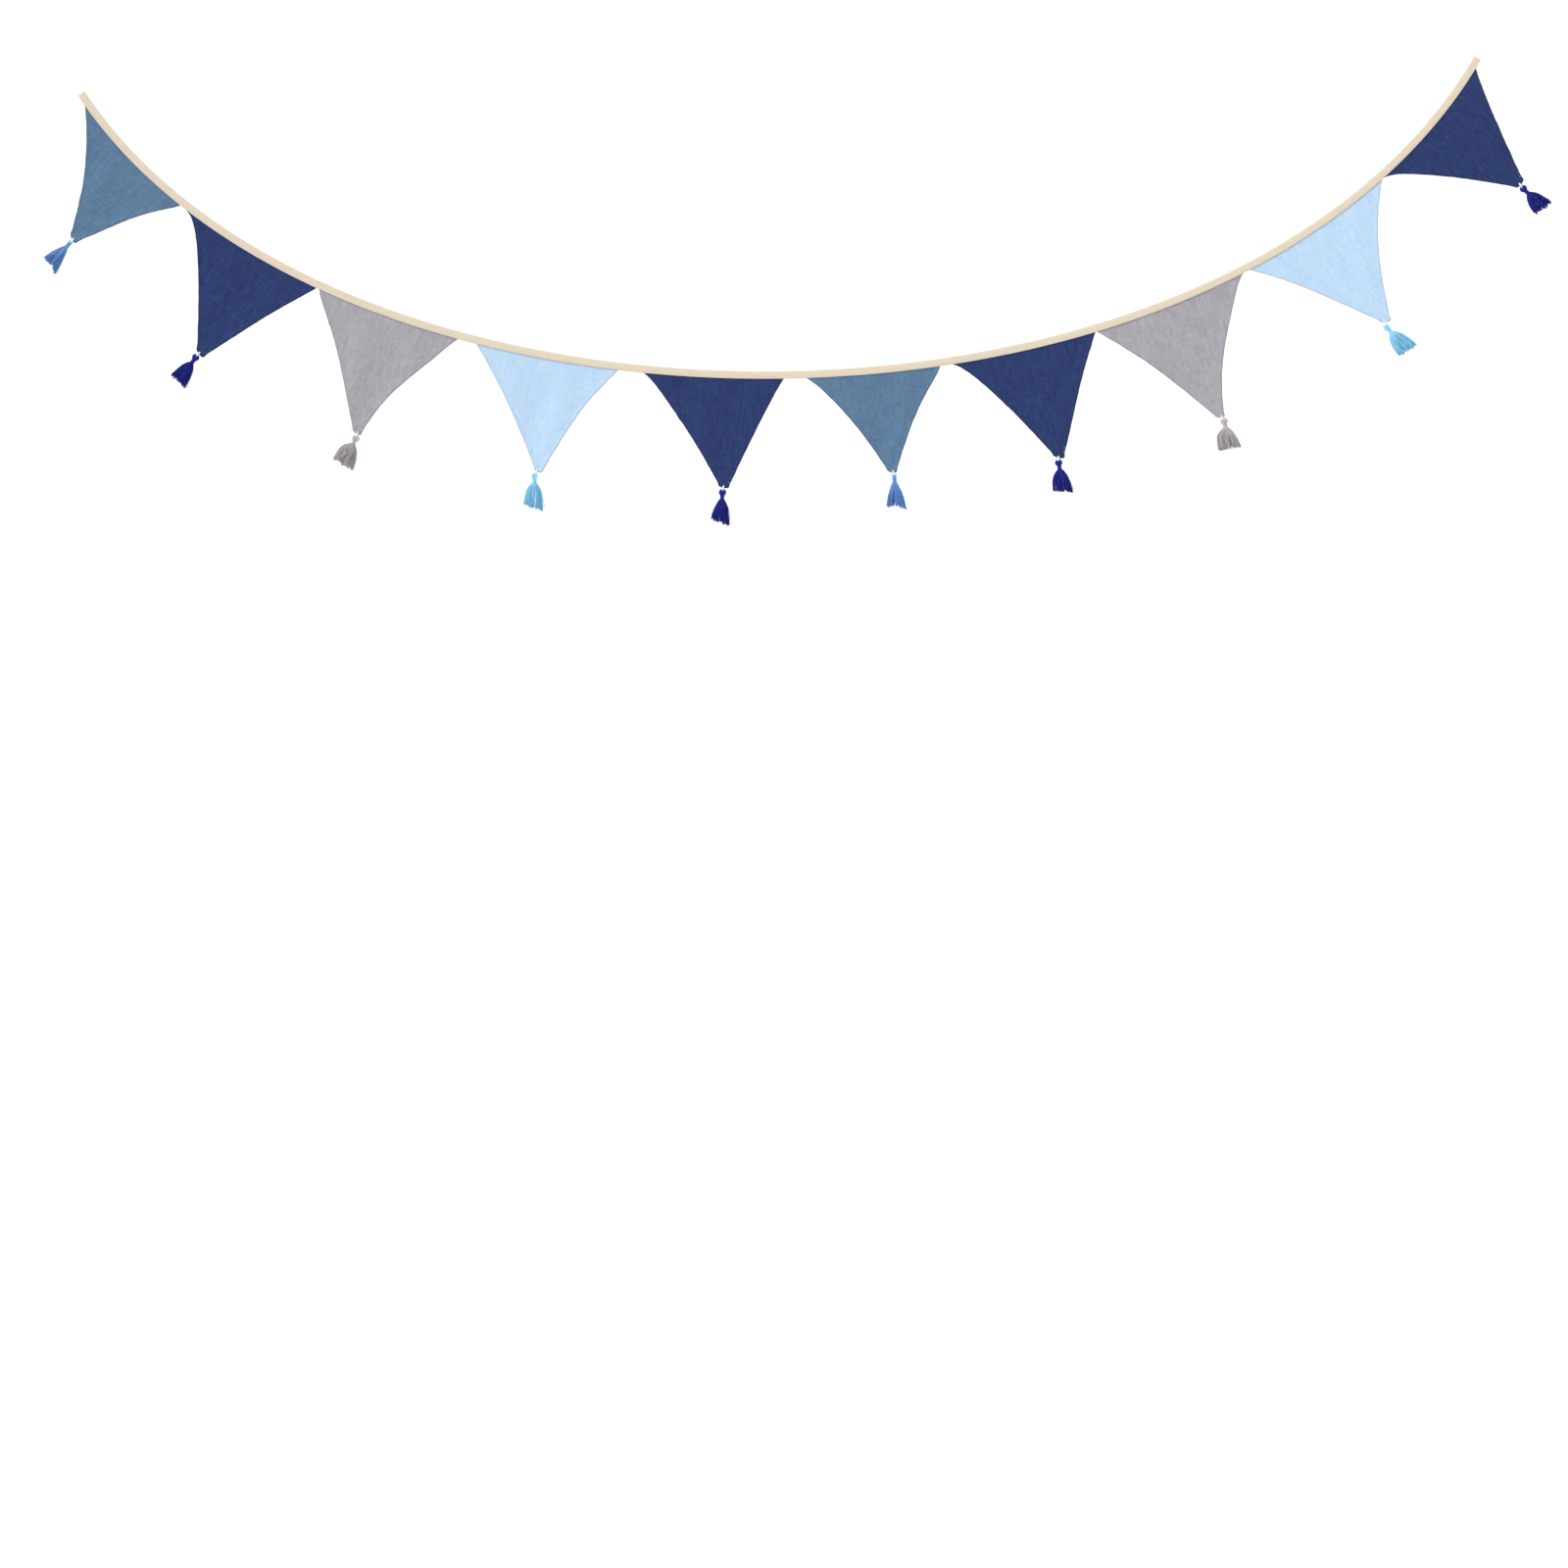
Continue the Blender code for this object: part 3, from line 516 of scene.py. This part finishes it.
class Pennant:
    def __init__(self, number, row):
        self.number = number
        (self.cloth, self.start, self.end, lean, self.drop, tip, tipTurn, self.leftEdge, self.rightEdge,
         self.swing, self.foldAt, self.fold) = row
        self.left = self.onTop(0.0)
        self.right = self.onTop(1.0)
        self.width = (self.right - self.left).length
        self.across = (self.right - self.left).normalized()
        self.down = Vector((self.across.z, 0, -self.across.x))
        self.tip = (self.left + self.right) / 2 + (self.across * lean + self.down * self.drop) * mm
        turn = math.radians(tipTurn)
        half = (self.across * math.cos(turn) + self.down * math.sin(turn)) * tip * mm / 2
        self.tipLeft = self.tip - half
        self.tipRight = self.tip + half
        leftRun = (self.tipLeft - self.left).normalized()
        rightRun = (self.tipRight - self.right).normalized()
        self.leftIn = Vector((-leftRun.z, 0, leftRun.x))
        self.rightIn = Vector((rightRun.z, 0, -rightRun.x))
        self.leftLean = leftRun.dot(self.down)
        self.rightLean = rightRun.dot(self.down)

    def onTop(self, share, above=0.0):
        distance = (self.start + (self.end - self.start) * share) * mm
        return onTape(distance, (cloth["tapeEdge"] - above) * mm)

    def drawIn(self, edge, side, fall):
        # mm that a sewn edge stands in from the straight line between its ends
        flare, bow, wave = edge
        along = fall * self.drop
        flare *= (1 - fall) * (1 - math.exp(-fall / cloth["flareFall"]))
        stray = noise(Vector((along / cloth["waverLong"], side * 9.1, self.number)))
        stray += 0.5 * noise(Vector((along / cloth["waverShort"], side * 5.3, self.number)))
        return (flare + bow * math.sin(math.pi * fall) + wave * math.sin(2 * math.pi * fall)
                + cloth["waver"] * stray * smooth(fall / cloth["waverFall"]))

    def flatPoint(self, share, fall):
        # the point laid flat, and the cloth's width there in mm
        above = (1 - fall) * self.drop
        left = self.left.lerp(self.tipLeft, fall)
        left += self.leftIn * self.drawIn(self.leftEdge, -1, fall) * mm
        right = self.right.lerp(self.tipRight, fall)
        right += self.rightIn * self.drawIn(self.rightEdge, 1, fall) * mm
        short = max(0.0, cloth["corner"] - above)
        rounded = cloth["corner"] - math.sqrt(cloth["corner"]**2 - short**2)
        rounded = (rounded - cloth["square"] * smooth(1 - above / cloth["squareHigh"])) * mm
        left += self.across * rounded
        right -= self.across * rounded
        topBend = self.onTop(share) - self.left.lerp(self.right, share)
        tipBend = self.down * cloth["tipBulge"] * mm * math.sin(math.pi * share)
        return left.lerp(right, share) + topBend * (1 - fall) + tipBend * fall, (right - left).length / mm

    def depth(self, across, fall):
        # mm that the cloth's middle stands behind the tape's plane
        ripple = cloth["ripple"] * math.sin(2 * math.pi * (across + self.start) / cloth["ripplePitch"])
        crease = self.width / mm * (self.foldAt + (0.5 - self.foldAt) * fall)
        fold = self.fold * math.exp(-((across - crease) / cloth["foldWidth"])**2)
        return (ripple + fold) * 4 * fall * (1 - fall) + self.swing * smooth(fall)

    def clothPoint(self, share, fall, held, face):
        # a point of one face: held is 1 at the raw top edge inside the tape, and 0 below the tape
        flat, wide = self.flatPoint(share, fall)
        if held:
            flat = self.onTop(share, cloth["heldDepth"] * held)
        rel = flat - self.left
        across = rel.dot(self.across) / mm
        below = rel.dot(self.down) / mm
        reach = min(share * wide * self.leftLean, (1 - share) * wide * self.rightLean,
                    (1 - fall) * self.drop)
        freed = smooth(fall / cloth["freedFall"])
        thin = cloth["heldHalf"] + (cloth["half"] - cloth["heldHalf"]) * smooth(fall / cloth["thickFall"])
        seam = cloth["seamHalf"]
        step = cloth["seamStep"]
        half = thin + (seam - thin) * smooth((cloth["seamWidth"] + step - reach) / step)
        if reach < seam:
            half *= math.sqrt(max(0.0, 1 - (1 - reach / seam)**2))
        half = min(half, thin) * (1 - freed) + half * freed
        if held == 1:
            half = 0.0
        calm = smooth((reach - seam) / cloth["calm"]) * freed
        seed = self.number * 10 + face
        pitch = cloth["crinklePitch"]
        finer = across / pitch * cloth["crinkleFiner"]
        crinkle = noise(Vector((across / pitch, below / cloth["crinkleLong"], seed)))
        crinkle += 0.5 * noise(Vector((finer, below / cloth["crinkleShort"], seed + 0.5)))
        nearEnds = math.exp(-below / cloth["gatherTop"])
        nearEnds += math.exp(-(self.drop - below) / cloth["gatherTip"])
        pleats = Vector((across / cloth["gatherPitch"], below / cloth["gatherLong"], seed + 4))
        gather = noise(pleats) * nearEnds
        relief = (cloth["crinkle"] * crinkle + cloth["gather"] * gather) * calm
        y = self.depth(across, fall) + face * half + relief
        # near the rim the colour darkens, for the seam's layers and the rolled edge's painted shade
        rim = 0.0 if held else smooth(1 - reach / gauze["rimWidth"])
        return flat + Vector((0, y * mm, 0)), (across * mm + self.number, below * mm), rim

    def place(self, u, v, face):
        # the grid is closer at the sewn edges and at the tip
        near = (min(u, 1 - u) * 2)**cloth["crowdAcross"] / 2
        row = v * cloth["rows"]
        held = max(0.0, 1 - row / cloth["heldRows"])
        left = min(1.0, (cloth["rows"] - row) / (cloth["rows"] - cloth["heldRows"]))
        return self.clothPoint(near if u < 0.5 else 1 - near, 1 - left**cloth["crowdDown"], held, face)

    def area(self):
        # square metres inside the outline, laid flat
        steps = [step / cloth["areaSteps"] for step in range(cloth["areaSteps"] + 1)]
        outline = [self.flatPoint(0, fall)[0] for fall in steps]
        outline += [self.flatPoint(1, 1 - fall)[0] for fall in steps]
        outline += [self.onTop(1 - share, cloth["heldDepth"]) for share in steps]
        pairs = zip(outline, outline[1:] + outline[:1])
        return abs(sum(one.x * two.z - two.x * one.z for one, two in pairs)) / 2


def makePennant(pennant):
    shape = bmesh.new()
    for face in (-1, 1):
        layGrid(shape, cloth["columns"], cloth["rows"], lambda u, v: pennant.place(u, v, face))
    bmesh.ops.remove_doubles(shape, verts=shape.verts, dist=1e-6)
    name = f"gauzePennant{pennant.number}"
    return finishPiece(name, shape, gauzes[pennant.cloth], f"pennant_{pennant.number:02d}")


hung = [Pennant(number, row) for number, row in enumerate(pennants, start=1)]
for pennant in hung:
    makePennant(pennant)

tassel = {
    "gap": 0.5,           # mm between the pennant's tip and the loop
    "loopTop": 1.25,      # mm, the skein's radius where the tie draws it together
    "loopThreads": 13,
    "loopThread": 0.45,   # mm, radius
    "loopTwist": 0.35,    # turns of the skein round itself
    "loopSteps": 9,       # points from the loop's top down each side
    "loopStep": 15,       # degrees from point to point
    "loopDrawn": 60,      # degrees from its top to the skein's full radius
    # the skein's two legs: mm to the side, mm below the loop, and mm radius
    "legs": ((1.35, -1.0, 1.5), (1.2, 0.5, 1.35), (1.1, 3.1, 1.2)),
    "wrapTop": 0.1,       # mm below the loop
    "wrapTurns": 4,
    "wrapSteps": 12,      # points in each turn
    "wrapDepth": 0.9,     # its depth against its width
    "wrapPitch": 0.55,    # mm
    "wrapRadius": 2.6,    # mm
    "wrapThread": 0.34,   # mm, radius
    "skirtTop": 1.7,      # mm below the loop
    "neckDepth": 0.9,     # the skirt's depth against its width in the neck
    "skirtDepth": 0.55,   # and lower down
    "neckShare": 0.3,     # the share of its length where one becomes the other
    "locks": 26,
    "innerLocks": 8,
    "threads": 12,        # in each lock
    "thread": 0.23,       # mm, radius
    "stray": 0.6,         # mm
    "lockStray": 0.3,     # how unevenly the locks stand, as a share of their space
    "threadStray": 0.1,   # and the threads in a lock
    "lockOpen": 1.5,      # how far a lock's threads spread at the neck
    # how far out the threads lie: the outer ones, and the inner ones at the neck and at the cut
    "outerDeep": (0.8, 1.0),
    "innerTop": (0.4, 0.9),
    "innerEnd": (0.25, 0.7),
    "sway": 0.8,          # mm that a lock sways, and how often down its length
    "swayWaves": 1.4,
    "bend": 0.4,          # mm that a thread bends
    "unevenThread": 0.7,  # mm from thread to thread at the cut
    "shortChance": 0.08,  # the share of threads cut shorter, and by how many mm at most
    "short": 4,
    "unevenCut": 1.3,     # mm from lock to lock
    "raggedCut": 3.2,     # mm, over a few locks
    "raggedPitch": 4.5,   # mm
    "lockClose": 0.72,    # how close a lock's threads lie at the cut
    "looseAway": (0.8, 2.6),  # mm that a loose thread stands away from the skirt
    "looseFrom": (0.15, 0.5),  # where it leaves, as a share of the skirt's length
    "looseIn": 0.96,      # and as a share of its half width
    "looseLength": (0.86, 0.99),  # its length against the skirt's
    "looseSteps": 8,
    "looseWave": 1.2,     # mm that it waves forward and back, and how often
    "looseWaves": 7,
    "looseThread": 0.6,   # its radius against the other threads'
    "tieShift": 0.3,      # the tie's share of the loop's shift where it leaves the cloth
}

# The skirt's half width down its length, as shares of its half width at the cut: for a skirt that
# bells out below the neck, and for one that fans out straight.
skirtShares = (0.0, 0.06, 0.14, 0.24, 0.38, 0.55, 0.70, 0.85, 1.0)
bellShape = (0.17, 0.24, 0.41, 0.60, 0.78, 0.90, 0.96, 0.99, 1.0)
fanShape = (0.17, 0.21, 0.29, 0.39, 0.51, 0.66, 0.78, 0.89, 1.0)

# One row for each tassel, in the pennants' order, in millimetres and degrees: its thread; how far
# its loop hangs right of the tip; how far its skirt swings right; its length and its width at the
# cut; how much lower the cut runs at the right, and how much lower still its right corner hangs;
# how much the skirt bells out at its left and at its right; how many threads stand away from it; the
# outer radius of its loop over the tie, and the skein's own radius; and how round the loop is.
tassels = (
    ("blue_thread", 1.5, 4, 41.5, 26, 7, 4.0, (0.2, 0.1), 2, 3.9, 1.3, 0.62),
    ("navy_thread", -2.0, -5, 42.5, 25, 9, 0.0, (0.8, 0.6), 3, 4.9, 2.45, 1.0),
    ("grey_thread", 1.0, -6, 42.0, 30, 6, 0.0, (1.35, 0.7), 2, 4.9, 2.3, 1.0),
    ("azure_thread", -4.0, 9, 45.0, 26, 14, 0.0, (1.0, 0.9), 5, 4.9, 2.1, 0.75),
    ("navy_thread", -1.5, -2, 42.5, 25, 11, 1.0, (0.4, 0.7), 3, 4.9, 2.45, 1.0),
    ("blue_thread", 2.0, -1, 42.5, 26, 7, 4.0, (0.3, 0.2), 2, 3.9, 1.3, 0.62),
    ("navy_thread", -2.5, -4, 41.5, 26, 10, 1.0, (1.0, 0.6), 3, 4.9, 2.45, 1.0),
    ("grey_thread", 2.0, -9, 40.5, 30, 3, 0.0, (1.5, 0.45), 2, 4.9, 2.3, 1.0),
    ("azure_thread", -4.0, 8, 44.5, 27, 12, 0.0, (0.9, 0.9), 5, 4.9, 2.1, 0.75),
    ("navy_thread", -2.5, -4, 41.0, 25, 12, 0.0, (0.9, 0.8), 4, 4.9, 2.4, 1.0),
)


def loopPath(loop, skein, roundness):
    # the skein's middle line up one side, over and down the other, with its own radius:
    # mm to the right, mm below the loop's middle
    path = []
    for step in range(-tassel["loopSteps"], tassel["loopSteps"] + 1):
        degrees = step * tassel["loopStep"]
        angle = math.radians(degrees)
        radius = skein + (tassel["loopTop"] - skein) * smooth(1 - abs(degrees) / tassel["loopDrawn"])
        out = loop - radius
        path.append((out * roundness * math.sin(angle), -out * math.cos(angle), radius))
    legs = [(x, loop + below, radius) for x, below, radius in tassel["legs"]]
    return [(-x, below, radius) for x, below, radius in reversed(legs)] + path + legs


def makeTassel(pennant, row):
    colour, shift, turn, length, spread, slant, corner, bells, loose, loop, skein, roundness = row
    draw = random.Random(pennant.number * 7)
    edge = pennant.tip + (pennant.down * cloth["tipBulge"] + Vector((0, pennant.swing, 0))) * mm
    centre = edge + (pennant.down * (tassel["gap"] + loop) + pennant.across * shift) * mm
    swing = math.atan2(pennant.across.z, pennant.across.x) + math.radians(turn)
    hang = Matrix.Translation(centre) @ Matrix.Rotation(-swing, 4, "Y")
    thick = []
    thin = []

    def addPath(threads, points, radius):
        # points in mm: to the right, to the back, and below the loop's middle
        placed = [hang @ Vector((x * mm, y * mm, -below * mm)) for x, y, below in points]
        threads.append((placed, radius * mm, len(threads)))

    path = loopPath(loop, skein, roundness)
    last = len(path) - 1
    for lay in range(tassel["loopThreads"]):
        points = []
        for step, (x, below, radius) in enumerate(path):
            ahead = path[min(step + 1, last)]
            behind = path[max(step - 1, 0)]
            run = Vector((ahead[0] - behind[0], ahead[1] - behind[1])).normalized()
            angle = 2 * math.pi * (lay / tassel["loopThreads"] + tassel["loopTwist"] * step / last)
            out = (radius - tassel["loopThread"]) * math.cos(angle)
            back = (radius - tassel["loopThread"]) * math.sin(angle)
            points.append((x + run.y * out, back, below - run.x * out))
        addPath(thick, points, tassel["loopThread"])

    wound = []
    for step in range(tassel["wrapTurns"] * tassel["wrapSteps"] + 1):
        angle = 2 * math.pi * step / tassel["wrapSteps"]
        wound.append((tassel["wrapRadius"] * math.sin(angle),
                      -tassel["wrapRadius"] * tassel["wrapDepth"] * math.cos(angle),
                      loop + tassel["wrapTop"] + tassel["wrapPitch"] * step / tassel["wrapSteps"]))
    addPath(thick, wound, tassel["wrapThread"])

    slope = math.tan(math.radians(slant))
    top = loop + tassel["skirtTop"]
    fall = length - loop - top
    widths = [[(fan + (full - fan) * bell) * spread / 2 for full, fan in zip(bellShape, fanShape)]
              for bell in bells]

    def cutAt(x, y):
        # mm that the cut runs lower there than in the middle
        ragged = noise(Vector((x, y, pennant.number * 31)) / tassel["raggedPitch"]) * tassel["raggedCut"]
        return x * slope + corner * max(0.0, x * 2 / spread)**2 + ragged

    flatter = tassel["skirtDepth"] - tassel["neckDepth"]
    depths = [tassel["neckDepth"] + flatter * smooth(share / tassel["neckShare"]) for share in skirtShares]
    for lock in range(tassel["locks"] + tassel["innerLocks"]):
        inner = lock >= tassel["locks"]
        around = tassel["innerLocks"] if inner else tassel["locks"]
        angle = 2 * math.pi * (lock + draw.uniform(-tassel["lockStray"], tassel["lockStray"])) / around
        lockCut = draw.uniform(-1, 1) * tassel["unevenCut"]
        lockSway = draw.uniform(-1, 1)
        for k in range(tassel["threads"]):
            spot = (k + 0.5) / tassel["threads"] - 0.5
            spot += draw.uniform(-tassel["threadStray"], tassel["threadStray"])
            topAngle = angle + 2 * math.pi * spot * tassel["lockOpen"] / around
            endAngle = angle + 2 * math.pi * spot * tassel["lockClose"] / around
            topDeep = draw.uniform(*tassel["innerTop" if inner else "outerDeep"])
            endDeep = draw.uniform(*tassel["innerEnd" if inner else "outerDeep"])
            strayX = draw.uniform(-1, 1) * tassel["stray"]
            strayY = draw.uniform(-1, 1) * tassel["stray"]
            bend = draw.uniform(-1, 1) * tassel["bend"]
            own = fall + lockCut + draw.uniform(-tassel["unevenThread"], tassel["unevenThread"])
            own -= draw.uniform(0, tassel["short"]) if draw.random() < tassel["shortChance"] else 0
            points = []
            for share, leftHalf, rightHalf, flat in zip(skirtShares, *widths, depths):
                spin = topAngle + (endAngle - topAngle) * smooth(share)
                rightShare = smooth(0.5 + math.sin(spin) / 2)
                half = leftHalf + (rightHalf - leftHalf) * rightShare
                deep = topDeep + (endDeep - topDeep) * smooth(share)
                sway = lockSway * math.sin(math.pi * tassel["swayWaves"] * share) * tassel["sway"]
                sway += bend * math.sin(2 * math.pi * share)
                x = math.sin(spin) * deep * (half - tassel["thread"]) + strayX * share + sway * share
                y = math.cos(spin) * deep * (half - tassel["thread"]) * flat + strayY * share
                points.append((x, y, top + (own + cutAt(x, y)) * share))
            addPath(thin, points, tassel["thread"])

    for k in range(loose):
        # a thread that stands away from the skirt, more often on the right
        side = 1 if k % 4 < 3 else -1
        away = draw.uniform(*tassel["looseAway"])
        first = draw.uniform(*tassel["looseFrom"])
        own = fall * draw.uniform(*tassel["looseLength"])
        points = []
        for step in range(tassel["looseSteps"] + 1):
            share = first + (1 - first) * step / tassel["looseSteps"]
            half = float(np.interp(share, skirtShares, widths[side > 0]))
            x = side * (half * tassel["looseIn"] + away * smooth((share - first) / (1 - first)))
            y = math.sin(share * tassel["looseWaves"] + k) * tassel["looseWave"]
            points.append((x, y, top + (own + cutAt(x, y)) * share))
        addPath(thin, points, tassel["thread"] * tassel["looseThread"])

    shape = bmesh.new()
    addThreads(shape, thick, sides=6)
    addThreads(shape, thin, sides=4)
    name = f"threadTassel{pennant.number}"
    piece = finishPiece(name, shape, flosses[colour], f"tassel_{pennant.number:02d}")
    loopTop = centre - pennant.down * (loop - tassel["loopTop"]) * mm
    return piece, loopTop, edge + pennant.across * shift * tassel["tieShift"] * mm


# The white thread ties the tassel to the pennant, and its last two stitches close the seam.
tie = {
    "start": 3.3,        # mm above the tip's lower edge
    "clear": 0.42,       # mm from the loop's thread to the tie's middle
    "threads": 5,
    "spacing": 0.5,      # mm between its threads
    "thread": 0.32,      # mm, radius
    "turn": 1.2,         # mm, its turn out of the cloth
    "inCloth": 0.3,      # mm from the cloth's middle to where it comes out
    "steps": 8,          # points in half a turn
    "close": 0.25,       # how close its threads lie at the cloth, and how much wider at the loop
    "open": 0.85,
    "seamStitches": (7.0, 12.5),  # mm above the tip
    "seamThread": 0.11,  # mm, radius
    "seamIn": 1.8,       # mm from the edge to the stitch's ends, and the share it reaches further
    "seamBow": 0.5,
    "seamSteps": 6,
    "seamStep": 0.2,     # mm down from point to point
    "seamProud": 0.35,   # mm that it stands proud of the cloth
}


def makeTie(pennant, loopTop, edge):
    start = edge - pennant.down * tie["start"] * mm
    along = (loopTop - start).normalized()
    side = Vector((-along.z, 0, along.x))
    run = (loopTop - start).length / mm
    reach = tassel["loopTop"] + tie["clear"]
    # out of the cloth in front, through the loop, and back in behind
    quarter = tie["steps"] // 2
    turns = [math.pi * step / tie["steps"] for step in range(-quarter, quarter + 1)]
    inside = tie["inCloth"]
    out = [(tie["turn"] * (1 - math.cos(turn)), -inside - (reach - inside) * math.sin(turn))
           for turn in turns[quarter:]]
    bend = [(run + reach * math.cos(turn), reach * math.sin(turn)) for turn in turns]
    path = out + bend + [(down, -depth) for down, depth in reversed(out)]
    threads = []
    for number in range(tie["threads"]):
        apart = (number - (tie["threads"] - 1) / 2) * tie["spacing"]
        points = []
        for step, (down, depth) in enumerate(path):
            plump = tie["close"] + tie["open"] * math.sin(math.pi * (step + 1) / (len(path) + 1))
            points.append(start + (along * down + side * apart * plump + Vector((0, depth, 0))) * mm)
        threads.append((points, tie["thread"] * mm, number))
    for number, above in enumerate(tie["seamStitches"]):
        fall = 1 - above / pennant.drop
        inset = tie["seamIn"] / pennant.flatPoint(0.5, fall)[1]
        points = []
        for step in range(tie["seamSteps"] + 1):
            bow = math.sin(math.pi * step / tie["seamSteps"])
            share = 1 - inset * (1 + tie["seamBow"] * bow)
            lower = (step - tie["seamSteps"] // 2) * tie["seamStep"] / pennant.drop
            place = pennant.clothPoint(share, fall + lower, 0, -1)[0]
            points.append(place - Vector((0, tie["seamProud"] * mm * bow, 0)))
        threads.append((points, tie["seamThread"] * mm, 10 + number))
    shape = bmesh.new()
    addThreads(shape, threads, sides=8)
    name = f"whiteTie{pennant.number}"
    return finishPiece(name, shape, flosses["white_thread"], f"tie_{pennant.number:02d}")


for pennant in hung:
    tasselPiece, loopTop, tipEdge = makeTassel(pennant, tassels[pennant.number - 1])
    tiePiece = makeTie(pennant, loopTop, tipEdge)
    pennant.area()
print("tassels and ties made")

room = {
    "floorDrop": 1.05,  # m, the floor below the camera
    "flat": 7.0,        # m, radius of the flat floor
    "curve": 5.0,       # m, radius of its curve up into the backdrop
    "wall": 3.0,        # m, the upright above the curve
    "curveSteps": 16,
    "sides": 96,
    "glow": 0.5,        # strength of the light from all round
}
shot = {
    "distance": 8.0,  # m in front of the garland
    "frame": 2.016,   # m across the picture at the garland
    "left": 0.1046,   # m from the picture's left edge to the origin
    "top": 0.1203,    # m from its top edge to the origin
}
middleX = shot["frame"] / 2 - shot["left"]
middleZ = shot["top"] - shot["frame"] / 2


def makeRoom():
    shape = bmesh.new()
    profile = [(0.0, 0.0), (room["flat"], 0.0)]
    for step in range(1, room["curveSteps"] + 1):
        turn = math.pi / 2 * step / room["curveSteps"]
        profile.append((room["flat"] + room["curve"] * math.sin(turn), room["curve"] * (1 - math.cos(turn))))
    profile.append((profile[-1][0], profile[-1][1] + room["wall"]))
    points = [shape.verts.new((out, 0, up)) for out, up in profile]
    edges = [shape.edges.new(pair) for pair in zip(points, points[1:])]
    bmesh.ops.spin(shape, geom=points + edges, axis=(0, 0, 1), cent=(0, 0, 0), angle=2 * math.pi,
                   steps=room["sides"], use_merge=True)
    bmesh.ops.remove_doubles(shape, verts=shape.verts, dist=1e-4)
    bmesh.ops.translate(shape, verts=shape.verts, vec=(middleX, 0, middleZ - room["floorDrop"]))
    mesh = bpy.data.meshes.new("paleFloor")
    shape.to_mesh(mesh)
    shape.free()
    mesh.shade_smooth()
    material = startMaterial("mattWhitePaint", {
        "Base Color": linearColour("#F6F6F5"), "Roughness": 0.9, "Specular IOR Level": 0.1})[0]
    mesh.materials.append(material)
    floor = bpy.data.objects.new("paleFloor", mesh)
    bpy.context.scene.collection.objects.link(floor)


def addSun(name, towards, spread, power):
    # a far lamp, as wide as spread in degrees, for soft shadows
    light = bpy.data.lights.new(name, "SUN")
    light.angle = math.radians(spread)
    light.energy = power
    lamp = bpy.data.objects.new(name, light)
    lamp.rotation_euler = Vector(towards).to_track_quat("Z", "Y").to_euler()
    bpy.context.scene.collection.objects.link(lamp)


makeRoom()
addSun("softKey", (-0.7, -0.75, 1.0), 30, 2.0)
addSun("softBack", (0.5, 0.9, 1.1), 50, 0.6)
world = bpy.data.worlds.new("softRoom")
world.use_nodes = True
background = world.node_tree.nodes["Background"]
background.inputs["Color"].default_value = (1, 1, 1, 1)
background.inputs["Strength"].default_value = room["glow"]
bpy.context.scene.world = world
bpy.context.scene.view_settings.view_transform = "Standard"

camera = bpy.data.objects.new("camera", bpy.data.cameras.new("camera"))
camera.data.lens = camera.data.sensor_width * shot["distance"] / shot["frame"]
camera.location = (middleX, -shot["distance"], middleZ)
camera.rotation_euler = (math.radians(90), 0, 0)
bpy.context.scene.collection.objects.link(camera)
bpy.context.scene.camera = camera
print("room, lights and camera ready")

bpy.context.view_layer.update()
